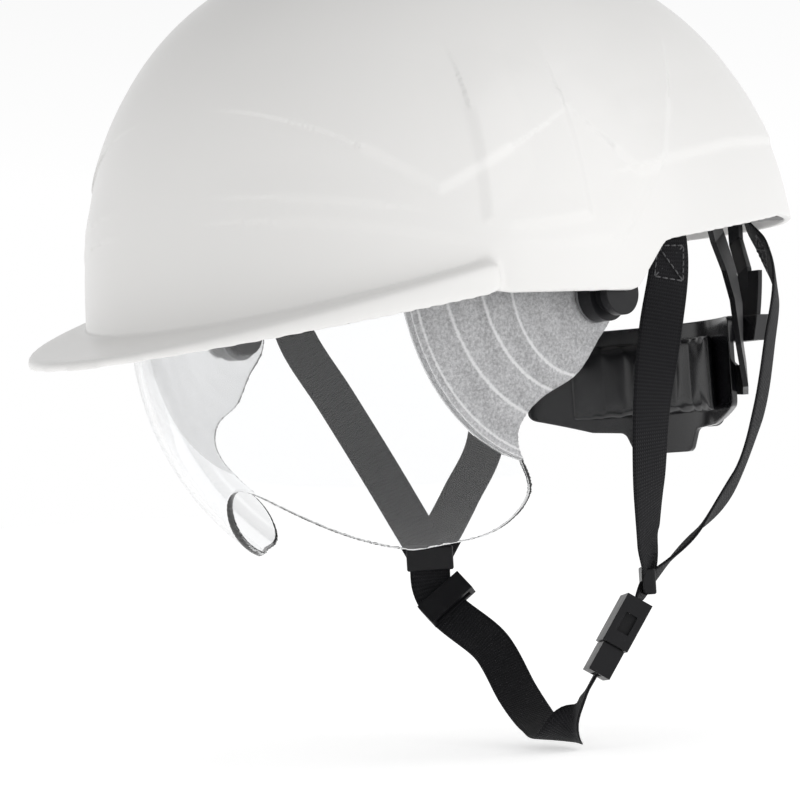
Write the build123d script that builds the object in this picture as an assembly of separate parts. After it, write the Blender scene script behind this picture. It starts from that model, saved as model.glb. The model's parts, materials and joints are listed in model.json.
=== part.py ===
"""Safety helmet with built-in eyewear, webbing suspension, ratchet nape band and chin strap.

Millimetres. +Z up, front is -Y, the wearer's left is +X. The origin is the centre of the
head seat: level with the eyewear pivots and the side rim, midway between the ears.
"""

import os
from math import acos, cos, pi, radians, sin, sqrt, tan

from build123d import *

os.makedirs("parts", exist_ok=True)

# ---------------------------------------------------------------- driving dimensions
WALL = 2.5                      # shell wall
HALF_WIDTH = 107.0              # shell body, outside, at the rim
FRONT = 118.0                   # shell body, outside, ahead of the origin
REAR = 150.0                    # shell body, outside, behind the origin
HEIGHT = 133.0                  # crown, outside, above the origin
CROWN_POWER = 2.4               # side profile of the dome
PLAN_POWER = 2.15               # plan of the dome's front half
REAR_PLAN_POWER = 2.5           # plan of its rear half
CROWN_SHIFT = 8.0               # the crown lies this far behind the origin
SKIRT = 30.0                    # depth of the blank below the origin, before the rim is cut

BRIM_HALF_WIDTH = 109.0
BRIM_REACH = 151.0
BRIM_START = -57.0              # Y where the brim begins
BRIM_FALL = 0.173               # slope of the brim's lower edge
BRIM_TOP_AT_BODY = -4.6         # height of the brim's upper face at the front of the body
BRIM_TOP_FALL = 0.258           # slope of the brim's upper face

PIVOT_Y = -6.0                  # eyewear pivot axis, along X at height 0
LENS_HALF_WIDTH = 91.0
LENS_REACH = 100.0
LENS_THICK = 2.2
LENS_TOP_ANGLE = 10.0           # the lens starts this far above the pivots
PIN_R = 2.5
RUN_GAP = 0.06                  # radial gap of a running fit
BOSS_R = 7.5

BAND_HALF_WIDTH = 75.0          # headband, inside
BAND_HALF_LENGTH = 99.0
BAND_CENTRE_Y = 8.0
BAND_THICK = 1.8
BAND_LOW = 3.0
BAND_HIGH = 31.0

STRAP_HALF_WIDTH = 99.8         # crown straps, inside, are half-ellipses of these lengths
STRAP_FRONT = 105.0
STRAP_REAR = 128.0
STRAP_HEIGHT = 94.0
STRAP_THICK = 1.2
STRAP_WIDTH = 20.0

SIDE_KEY = (95.8, 0.0, 52.0)    # middle of the side suspension pockets
REAR_KEY = (43.3, 129.9, 43.0)  # middle of the rear suspension pockets
REAR_KEY_TURN = -25.0

TILT_Y = 20.0                   # nape cradle tilt axis, along X
TILT_Z = 20.0
HANGER_R = 102.0                # rear hangers curve about the tilt axis
HANGER_X0 = 46.0
HANGER_X1 = 56.0
HANGER_THICK = 2.2

CRADLE_R = 77.3                 # nape cradle, plan radius of its inner face
CRADLE_BACK = 127.0             # its rearmost inner point
CRADLE_THICK = 2.2
CRADLE_HALF = 52.0

GEAR_Z = -26.0                  # ratchet axis, along Y
GEAR_MODULE = 1.2
GEAR_TEETH = 10
PITCH_R = GEAR_MODULE * GEAR_TEETH / 2
PRESSURE = radians(25)
ADDENDUM = 0.9
DEDENDUM = 1.35
BACKLASH = 0.16
RACK_Y = 130.6                  # front face of the two racks
RACK_THICK = 2.4
KNOB_R = 17.0

WEB_WIDTH = 15.0                # chin webbing
WEB_THICK = 1.3
SLIP = 0.3                      # gap round a piece that slides on webbing or in a buckle


# ---------------------------------------------------------------- helpers
def block(x0, x1, y0, y1, z0, z1):
    """Box between two corners."""
    centre = ((x0 + x1) / 2, (y0 + y1) / 2, (z0 + z1) / 2)
    return Pos(*centre) * Box(abs(x1 - x0), abs(y1 - y0), abs(z1 - z0))


def x_cylinder(radius, x0, x1, y, z):
    """Cylinder along X."""
    return Pos((x0 + x1) / 2, y, z) * Rot(0, 90, 0) * Cylinder(radius, abs(x1 - x0))


def y_cylinder(radius, y0, y1, x, z):
    """Cylinder along Y."""
    return Pos(x, (y0 + y1) / 2, z) * Rot(90, 0, 0) * Cylinder(radius, abs(y1 - y0))


def side_prism(outline, half_width=150.0):
    """Prism along X over a closed outline of (Y, Z) points."""
    face = Plane.YZ * make_face(Polyline(*outline, close=True))
    return extrude(face, half_width, both=True)


def mirrored(shape):
    """The same piece on the wearer's other side."""
    return mirror(shape, about=Plane.YZ)


def pair(name, shape):
    """Write a piece and its mirror image as NAME_left and NAME_right."""
    save(name + "_left", shape)
    save(name + "_right", mirrored(shape))


def save(name, *shapes):
    """Write one node, made of one or more separate solids."""
    solids = [solid for shape in shapes for solid in shape.solids()]
    whole = solids[0] if len(solids) == 1 else Compound(solids)
    export_step(whole, "parts/" + name + ".step")


def oval_prism(half_width, half_length, z0, z1, centre_y):
    """Upright elliptic prism."""
    return extrude(Pos(0, centre_y, z0) * Ellipse(half_width, half_length), z1 - z0)


def oval_ring(half_width, half_length, thick, z0, z1, centre_y):
    """Upright elliptic ring, measured inside."""
    outer = oval_prism(half_width + thick, half_length + thick, z0, z1, centre_y)
    return outer - oval_prism(half_width, half_length, z0 - 1, z1 + 1, centre_y)


def webbing(points, facings, width=WEB_WIDTH, thick=WEB_THICK):
    """Flat strap through points; each facing is the way its flat side looks there.

    width is one number, or a list with the width at each point.
    """
    widths = width if isinstance(width, list) else [width] * len(points)
    points = [Vector(*p) for p in points]
    sections = []
    for i, point in enumerate(points):
        before = points[max(i - 1, 0)]
        after = points[min(i + 1, len(points) - 1)]
        along = (after - before).normalized()
        facing = Vector(*facings[i])
        across = along.cross(facing).normalized()
        plane = Plane(origin=point, x_dir=across, z_dir=along)
        sections.append(plane * Rectangle(widths[i], thick))
    return loft(sections, ruled=True)


# ---------------------------------------------------------------- shell
def oval_wire(half_width, front, rear, z, centre_y):
    """Closed superelliptic outline with its own front and rear lengths."""
    steps = 28
    points = []
    for i in range(steps):
        turn = 2 * pi * i / steps
        c, s = cos(turn), sin(turn)
        length = rear if s > 0 else front
        power = REAR_PLAN_POWER if s > 0 else PLAN_POWER
        x = half_width * abs(c) ** (2 / power) * (1 if c >= 0 else -1)
        y = length * abs(s) ** (2 / power) * (1 if s >= 0 else -1)
        points.append((x, centre_y + y, z))
    return Spline(*points, periodic=True)


def dome(inset):
    """Closed helmet blank, INSET inside the outer face."""
    top = HEIGHT - inset
    levels = [(1.0, -SKIRT), (1.0, -SKIRT / 2)]
    for turn in (0, 14, 27, 39, 50, 60, 69, 77, 84):
        t = radians(turn)
        levels.append((cos(t) ** (2 / CROWN_POWER), top * sin(t) ** (2 / CROWN_POWER)))
    faces = []
    for share, z in levels:
        outline = oval_wire(
            (HALF_WIDTH - inset) * share,
            (FRONT - inset) * share,
            (REAR - inset) * share,
            z,
            CROWN_SHIFT * (1 - share),
        )
        faces.append(make_face(outline))
    return loft(faces)


def below_rim():
    """Everything under the rim line, as a prism along X."""
    deep = -90.0
    far = 220.0
    nose = (-far, BRIM_FALL * (-far - BRIM_START))
    tail = (far, 27.6)
    corners = [(BRIM_START, 0), (-1, 0), (14.5, 16.6), (97, 28.0)]
    rim = FilletPolyline(nose, *corners, tail, radius=[40, 5, 6, 60])
    edge = Polyline(tail, (far, deep), (-far, deep), nose)
    return extrude(Plane.YZ * make_face([rim, edge]), 150, both=True)


def brim_top(y):
    return BRIM_TOP_AT_BODY + BRIM_TOP_FALL * (y + FRONT)


def brim_wedge(start, drop, half_width, reach, floor=None):
    """Front part of the brim's plan, from its lower edge or a floor up to its top face."""
    far = -reach - 5
    near_floor = 0 if floor is None else floor
    far_floor = BRIM_FALL * (far - start) if floor is None else floor
    outline = [(start, near_floor), (far, far_floor)]
    outline += [(far, brim_top(far) - drop), (start, brim_top(start) - drop)]
    return oval_prism(half_width, reach, -60, 60, 0) & side_prism(outline)


def accessory_socket():
    """Socket in the side of the rim for a clip-on ear muff, and the slot in it."""
    place = Pos(97.3, -35, 13.5) * Rot(0, 0, -13.3)
    return place * Pos(2, 0, 0.2) * Box(13, 32, 25.8), place * Pos(0, 0, -2) * Box(4.6, 28, 25)


def key_socket(place):
    """Pocket on the inner wall that a suspension key pushes up into."""
    return place * (Pos(0, 2.5, 0) * Box(28, 14.0, 16) - Pos(0, 0, -3) * Box(22.4, 4.4, 16))


SIDE_PLACE = Pos(*SIDE_KEY) * Rot(0, 0, -90)
REAR_PLACE = Pos(*REAR_KEY) * Rot(0, 0, REAR_KEY_TURN)


def make_shell():
    outer = dome(0.0)
    brim = brim_wedge(BRIM_START, 0.0, BRIM_HALF_WIDTH, BRIM_REACH)
    underside = brim_wedge(
        BRIM_START - WALL, WALL, BRIM_HALF_WIDTH - WALL, BRIM_REACH - WALL, floor=-60.0
    )
    socket, slot = accessory_socket()
    fittings = (socket - slot) + key_socket(SIDE_PLACE) + key_socket(REAR_PLACE)
    fittings = fittings & dome(WALL / 2)
    fittings = fittings + mirrored(fittings)
    shell = (outer - below_rim()) + brim - dome(WALL) - underside
    return shell + fittings - slot - mirrored(slot)


# ---------------------------------------------------------------- eyewear
def egg(half_width, reach):
    """Solid of revolution about the pivot axis, elliptic in plan."""
    half = make_face([
        EllipticalCenterArc((0, 0), half_width, reach, start_angle=180, arc_size=180),
        Line((-half_width, 0), (half_width, 0)),
    ])
    return Pos(0, PIVOT_Y, 0) * revolve(half, Axis.X, 360)


def lens_outline():
    """Side view of the lens: hub, rear edge with its waist and tab, lower and top edges."""
    reach = LENS_REACH + 4
    top = (PIVOT_Y - reach * cos(radians(LENS_TOP_ANGLE)), reach * sin(radians(LENS_TOP_ANGLE)))
    rear = Spline(
        (PIVOT_Y + 11, 0), (-3, -14), (-13.5, -26.5), (-25, -32.5), (-32, -42),
        (-25, -55), (-18, -66), (-22, -74.5), (-36, -79), (-57, -81),
        tangents=[(0, -1), (-1, 0)],
    )
    hub_top = (PIVOT_Y + 3, 11.5)
    hub = ThreePointArc(hub_top, (PIVOT_Y + 9.2, 7.2), (PIVOT_Y + 11, 0))
    lower = Polyline((-57, -81), (PIVOT_Y - reach, -81), top, (-60, 15.5), hub_top)
    return extrude(Plane.YZ * make_face([rear, hub, lower]), 110, both=True)


def nose_arch():
    """Front view of the cut-out over the nose, as a prism along Y."""
    peak, foot, half = -57.6, -81.5, 42.0
    arch = Spline(
        (-half, foot), (-27, -74.6), (-12, -63), (0, peak), (12, -63), (27, -74.6), (half, foot),
    )
    rest = Polyline((half, foot), (half, -120), (-half, -120), (-half, foot))
    face = Plane.XZ * make_face([arch, rest])
    return Pos(0, -30, 0) * extrude(face, 90)


def make_lens():
    skin = egg(LENS_HALF_WIDTH, LENS_REACH)
    skin = skin - egg(LENS_HALF_WIDTH - LENS_THICK, LENS_REACH - LENS_THICK)
    lens = (skin & lens_outline()) - nose_arch()
    return lens - x_cylinder(PIN_R + RUN_GAP, -100, 100, PIVOT_Y, 0)


def make_pivots():
    """Screw, washer and bracket that hold the lens on the wearer's left."""
    inside = LENS_HALF_WIDTH - LENS_THICK
    wall = HALF_WIDTH - WALL
    cap = x_cylinder(BOSS_R, inside - 3.8, inside - 0.45, PIVOT_Y, 0)
    shank = x_cylinder(PIN_R, inside - 1.0, wall - 3.5, PIVOT_Y, 0)
    screw = fillet(cap.edges().group_by(Axis.X)[0], 1.4) + shank
    washer = x_cylinder(9.2, LENS_HALF_WIDTH + 0.15, LENS_HALF_WIDTH + 1.1, PIVOT_Y, 0)
    washer = washer - x_cylinder(PIN_R + RUN_GAP, 80, 110, PIVOT_Y, 0)
    boss = x_cylinder(9.0, LENS_HALF_WIDTH + 1.15, LENS_HALF_WIDTH + 6.5, PIVOT_Y, 0)
    boss = boss + x_cylinder(6.0, LENS_HALF_WIDTH + 6.5, wall - 3.8, PIVOT_Y, 0)
    plate = block(wall - 3.8, wall + 1, -17, 6, 6.5, 21)
    plate = plate + x_cylinder(BOSS_R, wall - 3.8, wall + 1, PIVOT_Y, 0)
    bracket = boss + fillet(plate.edges().filter_by(Axis.X), 1.0)
    bracket = (bracket & dome(WALL + 0.3)) - x_cylinder(PIN_R, 80, wall - 3.5, PIVOT_Y, 0)
    screws = []
    for y in (PIVOT_Y - 8, PIVOT_Y + 10):
        bracket = bracket - x_cylinder(1.3, 90, 120, y, 15.5)
        head = x_cylinder(2.6, wall - 5.4, wall - 3.85, y, 15.5)
        screws.append(head + x_cylinder(1.2, wall - 4.0, wall - 1.2, y, 15.5))
    return screw, washer, bracket, screws


# ---------------------------------------------------------------- suspension
def crown_arc(front, rear, height):
    """Thin arch in the YZ plane whose front and rear halves have their own lengths."""
    arch = Sketch()
    for length, shift in ((front, -1), (rear, 1)):
        ring = Ellipse(length + STRAP_THICK, height + STRAP_THICK) - Ellipse(length, height)
        arch += ring & Pos(shift * 100, 100) * Rectangle(200, 200)
    return Plane.YZ * arch


def crown_strap(turn, centre_y, height, front, rear, low_front, low_rear):
    """One webbing strap over the crown; turn swings its front end towards the wearer's left."""
    strap = extrude(crown_arc(front, rear, height), STRAP_WIDTH / 2, both=True)
    strap = strap - block(-20, 20, -160, 0, -5, low_front)
    strap = strap - block(-20, 20, 0, 160, -5, low_rear)
    return Pos(0, centre_y, 0) * Rot(0, 0, turn) * strap


def make_crown_patch():
    """Stitched disc that joins the straps at the top."""
    cap = Sphere(170 + STRAP_THICK) - Sphere(170)
    cap = Pos(0, 0, STRAP_HEIGHT + 4.4 - 170) * cap & Pos(0, 0, 100) * Cylinder(24, 40)
    return Pos(0, BAND_CENTRE_Y, 0) * cap


def make_side_key():
    """Clip in a side pocket, with the leg that carries the headband."""
    tongue = SIDE_PLACE * Pos(0, 0, -2.2) * Box(22, 4, 13.4)
    flange = SIDE_PLACE * Pos(0, -3.0, -10.4) * Box(26, 12.4, 4.4)
    leg = webbing(
        [(91.5, 0, 41.4), (88, 0, 34), (80.5, 0, 26), (77.9, 0, 18), (77.9, 0, 8)],
        [(1, 0, 0.3), (1, 0, 0.8), (1, 0, 0.6), (1, 0, 0), (1, 0, 0)],
        width=16, thick=1.8,
    )
    return (tongue + flange) + leg


def make_rear_key():
    """Clip in a rear pocket; the hanger's two prongs end in it."""
    tongue = REAR_PLACE * Pos(0, 0, -2.2) * Box(22, 4, 13.4)
    flange = REAR_PLACE * Pos(0, -3.0, -10.4) * Box(26, 12.6, 4.4)
    return tongue + flange


def make_headband():
    ring = oval_ring(
        BAND_HALF_WIDTH, BAND_HALF_LENGTH, BAND_THICK, BAND_LOW, BAND_HIGH, BAND_CENTRE_Y
    )
    ring = ring - block(-120, 120, 34, 200, -10, 60)
    for side in (-1, 1):
        ring = ring - x_cylinder(2.0 + RUN_GAP, side * 60, side * 100, TILT_Y, TILT_Z)
    return ring


def make_brow_pad():
    """Soft sweatband inside the front of the headband."""
    pad = oval_ring(
        BAND_HALF_WIDTH - 5.3, BAND_HALF_LENGTH - 5.3, 5.0, BAND_LOW - 2, BAND_HIGH + 2,
        BAND_CENTRE_Y,
    )
    return pad - block(-120, 120, -32, 200, -10, 60)


def make_temple_pin():
    """Rivet that the nape arm tilts and slides on."""
    band = BAND_HALF_WIDTH + 0.2
    shank = x_cylinder(2.0, band - 2.4, 87.0, TILT_Y, TILT_Z)
    inner = x_cylinder(4.0, band - 3.4, band - 1.4, TILT_Y, TILT_Z)
    return shank + inner + x_cylinder(4.0, 85.9, 87.3, TILT_Y, TILT_Z)


# ---------------------------------------------------------------- nape cradle and ratchet
def cradle_skin(inner, thick, half, z0, z1):
    """Upright arc concentric with the nape cradle."""
    centre = CRADLE_BACK - CRADLE_R
    ring = Cylinder(inner + thick, z1 - z0) - Cylinder(inner, z1 - z0 + 2)
    ring = Pos(0, centre, (z0 + z1) / 2) * ring
    return ring & block(-half, half, centre + 10, 200, z0 - 5, z1 + 5)


def tilt_band(inner, outer, x0, x1, z0, z1):
    """Piece of a drum about the tilt axis, behind the head."""
    ring = x_cylinder(outer, x0, x1, TILT_Y, TILT_Z) - x_cylinder(inner, x0 - 1, x1 + 1, TILT_Y, TILT_Z)
    return ring & block(x0, x1, TILT_Y + 40, 200, z0, z1)


def make_cradle():
    """Curved nape plate with a guide loop at each end for a rear hanger."""
    plate = cradle_skin(CRADLE_R, CRADLE_THICK, CRADLE_HALF + 1, -60, 0)
    half = [(0, -4.5), (CRADLE_HALF, -4.5), (CRADLE_HALF, -37), (31, -43.5), (18, -44.5), (14, -53)]
    outline = half[1:] + [(-x, z) for x, z in reversed(half[1:])]
    prism = Plane.XZ * make_face(FilletPolyline(*outline, radius=3.5, close=True))
    plate = plate & Pos(0, 200, 0) * extrude(prism, 150)
    gap = 0.4
    sleeve = tilt_band(
        HANGER_R - 2.0, HANGER_R + HANGER_THICK + 2.0, HANGER_X0 - 2, HANGER_X1 + 2, -14, -4.5
    )
    foot = tilt_band(86, HANGER_R - 1.5, HANGER_X0 - 2, CRADLE_HALF - 1.5, -14, -4.5)
    foot = foot - cradle_skin(10, CRADLE_R - 10 + 0.8, 80, -40, 20)
    tunnel = tilt_band(
        HANGER_R - gap, HANGER_R + HANGER_THICK + gap, HANGER_X0 - gap, HANGER_X1 + gap, -30, 0
    )
    loops = (sleeve + foot) - tunnel
    return plate + loops + mirrored(loops)


def make_hanger():
    """Forked strap between a rear key and its guide loop on the cradle."""
    strip = tilt_band(HANGER_R, HANGER_R + HANGER_THICK, HANGER_X0, HANGER_X1, -12.5, 12)
    middle = HANGER_R + HANGER_THICK / 2
    y_top = TILT_Y + sqrt(middle ** 2 - (TILT_Z - 8) ** 2)
    prongs = []
    for local in (-7.0, 7.0):
        tip = (REAR_PLACE * Pos(local, 0, -9.5)).position
        start_x = HANGER_X0 + 2.8 if local < 0 else HANGER_X1 - 2.8
        route = [(start_x, y_top - 0.4, 4), (start_x, y_top, 12), (tip.X, tip.Y, 24), (tip.X, tip.Y, 33.5)]
        prongs.append((route, [(0, 1, 0)] * 4))
    for route, facings in prongs:
        strip = strip + webbing(route, facings, width=5.6, thick=2.2)
    holes = [webbing(route[2:], facings[2:], width=6.0, thick=2.6) for route, facings in prongs]
    return strip, holes


def rack(side):
    """Straight toothed bar of one nape arm; the left one meshes above the gear."""
    up = 1 if side > 0 else -1
    pitch = pi * GEAR_MODULE
    line = GEAR_Z + up * PITCH_R
    root = line + up * DEDENDUM
    bar = block(-17 * side, 28 * side, RACK_Y, RACK_Y + RACK_THICK, root, root + up * 4.2)
    half = pitch / 4 - BACKLASH / 2
    teeth = bar
    for i in range(-4, 6):
        x = side * (i + 0.5) * pitch
        tip = half - ADDENDUM * tan(PRESSURE)
        foot = half + DEDENDUM * tan(PRESSURE)
        outline = Polyline(
            (x - foot, root + up * 0.1), (x + foot, root + up * 0.1),
            (x + tip, line - up * ADDENDUM), (x - tip, line - up * ADDENDUM), close=True,
        )
        tooth = extrude(Plane.XZ * make_face(outline), -RACK_THICK)
        teeth = teeth + Pos(0, RACK_Y, 0) * tooth
    return teeth


def make_arm():
    """Left nape arm: rack, curve behind the cradle, and the strap that rises to the temple."""
    line = RACK_Y + RACK_THICK / 2
    bar = GEAR_Z + PITCH_R + DEDENDUM + 2.1
    route = [
        (26, line, bar), (30, line - 0.4, bar - 3.5), (34, 128.4, -25), (40, 124.0, -27.5),
        (50, 117.0, -28), (56.5, 109.5, -26.5), (60.5, 103, -15), (58.5, 105, 0), (56, 105, 12),
        (55, 101, 24), (58, 94, 33), (66, 80, 38), (74, 60, 36), (79, 42, 28), (80.3, 28, 20.5),
        (80.3, 12, 20),
    ]
    facings = [
        (0, 1, 0), (0.2, 1, 0), (0.5, 0.87, 0), (0.55, 0.84, 0), (0.65, 0.76, 0),
        (0.75, 0.66, 0), (0.82, 0.57, 0), (0.92, 0.38, 0), (0.95, 0.3, 0), (0.96, 0.27, 0),
        (0.92, 0.4, 0), (0.93, 0.36, 0), (0.97, 0.2, 0), (0.99, 0.1, 0), (1, 0, 0), (1, 0, 0),
    ]
    widths = [4.2, 8, 10, 11, 11, 11, 9.5, 9, 9, 9, 10, 11, 12, 13, 14, 14]
    strap = webbing(route, facings, width=widths, thick=2.0)
    return strap - x_cylinder(2.0 + RUN_GAP, 60, 100, TILT_Y, TILT_Z)


def make_arms():
    left = make_arm() + rack(1)
    low = GEAR_Z - PITCH_R - DEDENDUM - 4.2
    lift = block(-33, -24.8, RACK_Y, RACK_Y + RACK_THICK, low, GEAR_Z + 8)
    right = mirrored(make_arm()) + rack(-1) + lift
    return left, right


def make_housing():
    """Box for the racks and the gear, on the back of the cradle."""
    rear = RACK_Y + RACK_THICK + 0.5
    body = block(-22, 22, CRADLE_BACK + CRADLE_THICK - 4, rear, GEAR_Z - 17, GEAR_Z + 17)
    body = fillet(body.edges().filter_by(Axis.Y), 4)
    body = body - cradle_skin(10, CRADLE_R + CRADLE_THICK - 10 + 0.02, 80, -90, 40)
    front = RACK_Y - 0.3
    root = PITCH_R + DEDENDUM
    top = block(-21, 40, front, rear + 1, GEAR_Z + PITCH_R - ADDENDUM - 0.3, GEAR_Z + root + 4.5)
    bottom = block(-40, 21, front, rear + 1, GEAR_Z - root - 4.5, GEAR_Z - PITCH_R + ADDENDUM + 0.3)
    body = body - top - bottom - y_cylinder(7.3, front, rear + 1, 0, GEAR_Z)
    return body, rear


def gear_profile():
    """Involute outline of the ratchet gear in its own plane, with a tooth on +Y."""
    base = PITCH_R * cos(PRESSURE)
    tip = PITCH_R + ADDENDUM
    root = PITCH_R - DEDENDUM
    half = pi / (2 * GEAR_TEETH) - BACKLASH / (4 * PITCH_R)
    at_pitch = half + tan(PRESSURE) - PRESSURE
    flank = [(root, at_pitch)]
    for i in range(5):
        radius = base + (tip - base) * i / 4
        slope = acos(base / radius)
        flank.append((radius, at_pitch - tan(slope) + slope))
    points = []
    for tooth in range(GEAR_TEETH):
        middle = pi / 2 - 2 * pi * tooth / GEAR_TEETH
        points += [(r * cos(middle + a), r * sin(middle + a)) for r, a in flank]
        points += [(r * cos(middle - a), r * sin(middle - a)) for r, a in reversed(flank)]
    return make_face(Polyline(*points, close=True))


def make_ratchet():
    """Housing, cover, gear, detent ring, spring, knob and screws."""
    housing, rear = make_housing()
    cover_back = rear + 3.0
    cover = block(-23, 23, rear + 0.1, cover_back, GEAR_Z - 18, GEAR_Z + 18)
    cover = fillet(cover.edges().filter_by(Axis.Y), 5)
    cover = cover - y_cylinder(4 + RUN_GAP, rear - 1, cover_back + 1, 0, GEAR_Z)
    screws = []
    for x in (-17.5, 17.5):
        for z in (GEAR_Z - 14.2, GEAR_Z + 14.2):
            cover = cover - y_cylinder(1.3, rear - 8, cover_back + 1, x, z)
            housing = housing - y_cylinder(1.3, rear - 2.4, rear + 1, x, z)
            head = y_cylinder(2.2, cover_back + 0.05, cover_back + 1.0, x, z)
            screws.append(head + y_cylinder(1.2, rear - 2.2, cover_back + 0.5, x, z))
    gear = extrude(Plane.XZ * gear_profile(), -RACK_THICK)
    shaft_end = cover_back + 6.0
    gear = Pos(0, RACK_Y, GEAR_Z) * gear + y_cylinder(4, RACK_Y + 2, shaft_end, 0, GEAR_Z)
    ring = y_cylinder(14, cover_back + 0.05, cover_back + 3, 0, GEAR_Z)
    ring = ring - y_cylinder(11.4, cover_back - 1, cover_back + 4, 0, GEAR_Z)
    for i in range(20):
        turn = 2 * pi * i / 20
        x, z = 11.6 * cos(turn), GEAR_Z + 11.6 * sin(turn)
        ring = ring - y_cylinder(1.1, cover_back - 1, cover_back + 4, x, z)
    spring_low, spring_high = cover_back + 0.4, cover_back + 2.6
    spring = y_cylinder(6.2, spring_low, spring_high, 0, GEAR_Z)
    for i in range(3):
        arm = Pos(8.3, 0, 0) * Box(5.2, 2.2, spring_high - spring_low) + Pos(10.2, 0, 0) * Cylinder(
            0.9, spring_high - spring_low
        )
        arm = Rot(90, 0, 0) * Rot(0, 0, 120 * i) * arm
        spring = spring + Pos(0, (spring_low + spring_high) / 2, GEAR_Z) * arm
    spring = spring - y_cylinder(4.02, 100, 200, 0, GEAR_Z)
    knob_front, knob_back = cover_back + 1.3, cover_back + 10.5
    knob = y_cylinder(KNOB_R, knob_front, knob_back, 0, GEAR_Z)
    knob = fillet(knob.edges().group_by(Axis.Y)[-1], 2.5)
    knob = knob - y_cylinder(14.5, knob_front - 1, cover_back + 3.4, 0, GEAR_Z)
    knob = knob - y_cylinder(4.02, knob_front, shaft_end + 0.1, 0, GEAR_Z)
    knob = knob - y_cylinder(1.6, knob_front, knob_back + 1, 0, GEAR_Z)
    for i in range(18):
        turn = 2 * pi * i / 18
        x, z = (KNOB_R + 1.0) * cos(turn), GEAR_Z + (KNOB_R + 1.0) * sin(turn)
        knob = knob - y_cylinder(2.2, knob_front - 1, knob_back + 1, x, z)
    bolt = y_cylinder(1.5, shaft_end - 5, knob_back + 0.2, 0, GEAR_Z)
    gear = gear - y_cylinder(1.52, shaft_end - 5.2, shaft_end + 1, 0, GEAR_Z)
    bolt = bolt + y_cylinder(3.4, knob_back + 0.02, knob_back + 1.4, 0, GEAR_Z)
    return housing, cover, screws, gear, ring, spring, knob, bolt


def make_nape_pad():
    """Soft pad on the inner face of the cradle."""
    return cradle_skin(CRADLE_R - 5.3, 5.0, 36, -40, -9)


# ---------------------------------------------------------------- chin strap
MERGE_LEFT = (66.0, 39.0, -97.0)
MERGE_RIGHT = (-50.0, 47.2, -87.0)
RUN_TOP = (-50.0, 47.0, -96.0)          # straight run that the slider travels on
RUN_END = (-22.0, 50.0, -121.5)
BUCKLE_DIR = Vector(-8.0, -11.6, -21.5).normalized()
BUCKLE_ACROSS = Vector(0.72, -0.69, 0.0)
TOWARDS_FRONT_LEFT = (0.72, -0.69, 0.1)


def buckle_plane(distance):
    """Plane across the buckle, this far below the left merge."""
    origin = Vector(*MERGE_LEFT) + BUCKLE_DIR * distance
    across = BUCKLE_ACROSS - BUCKLE_DIR * BUCKLE_ACROSS.dot(BUCKLE_DIR)
    return Plane(origin=origin, x_dir=across, z_dir=BUCKLE_DIR)


def buckle_block(width, depth, start, end, shift=0.0):
    face = buckle_plane(start) * Pos(shift, 0, 0) * Rectangle(width, depth)
    return extrude(face, end - start)


def make_buckle():
    """Side-release buckle: socket on the left merge and the insert that slides out of it."""
    socket = buckle_block(25, 9.5, 8.0, 26.0)
    socket = socket - buckle_block(21.4, 5.9, 10.6, 27.0)
    socket = socket - buckle_block(30, 4.2, 14.0, 21.0)
    insert = buckle_block(22, 8.0, 26.4, 37.0) - buckle_block(16.4, 2.6, 31.0, 38.0)
    for shift, width in ((-8.6, 3.2), (8.6, 3.2), (0.0, 4.0)):
        insert = insert + buckle_block(width, 5.2, 12.0, 27.0, shift)
    return socket, insert


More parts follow.
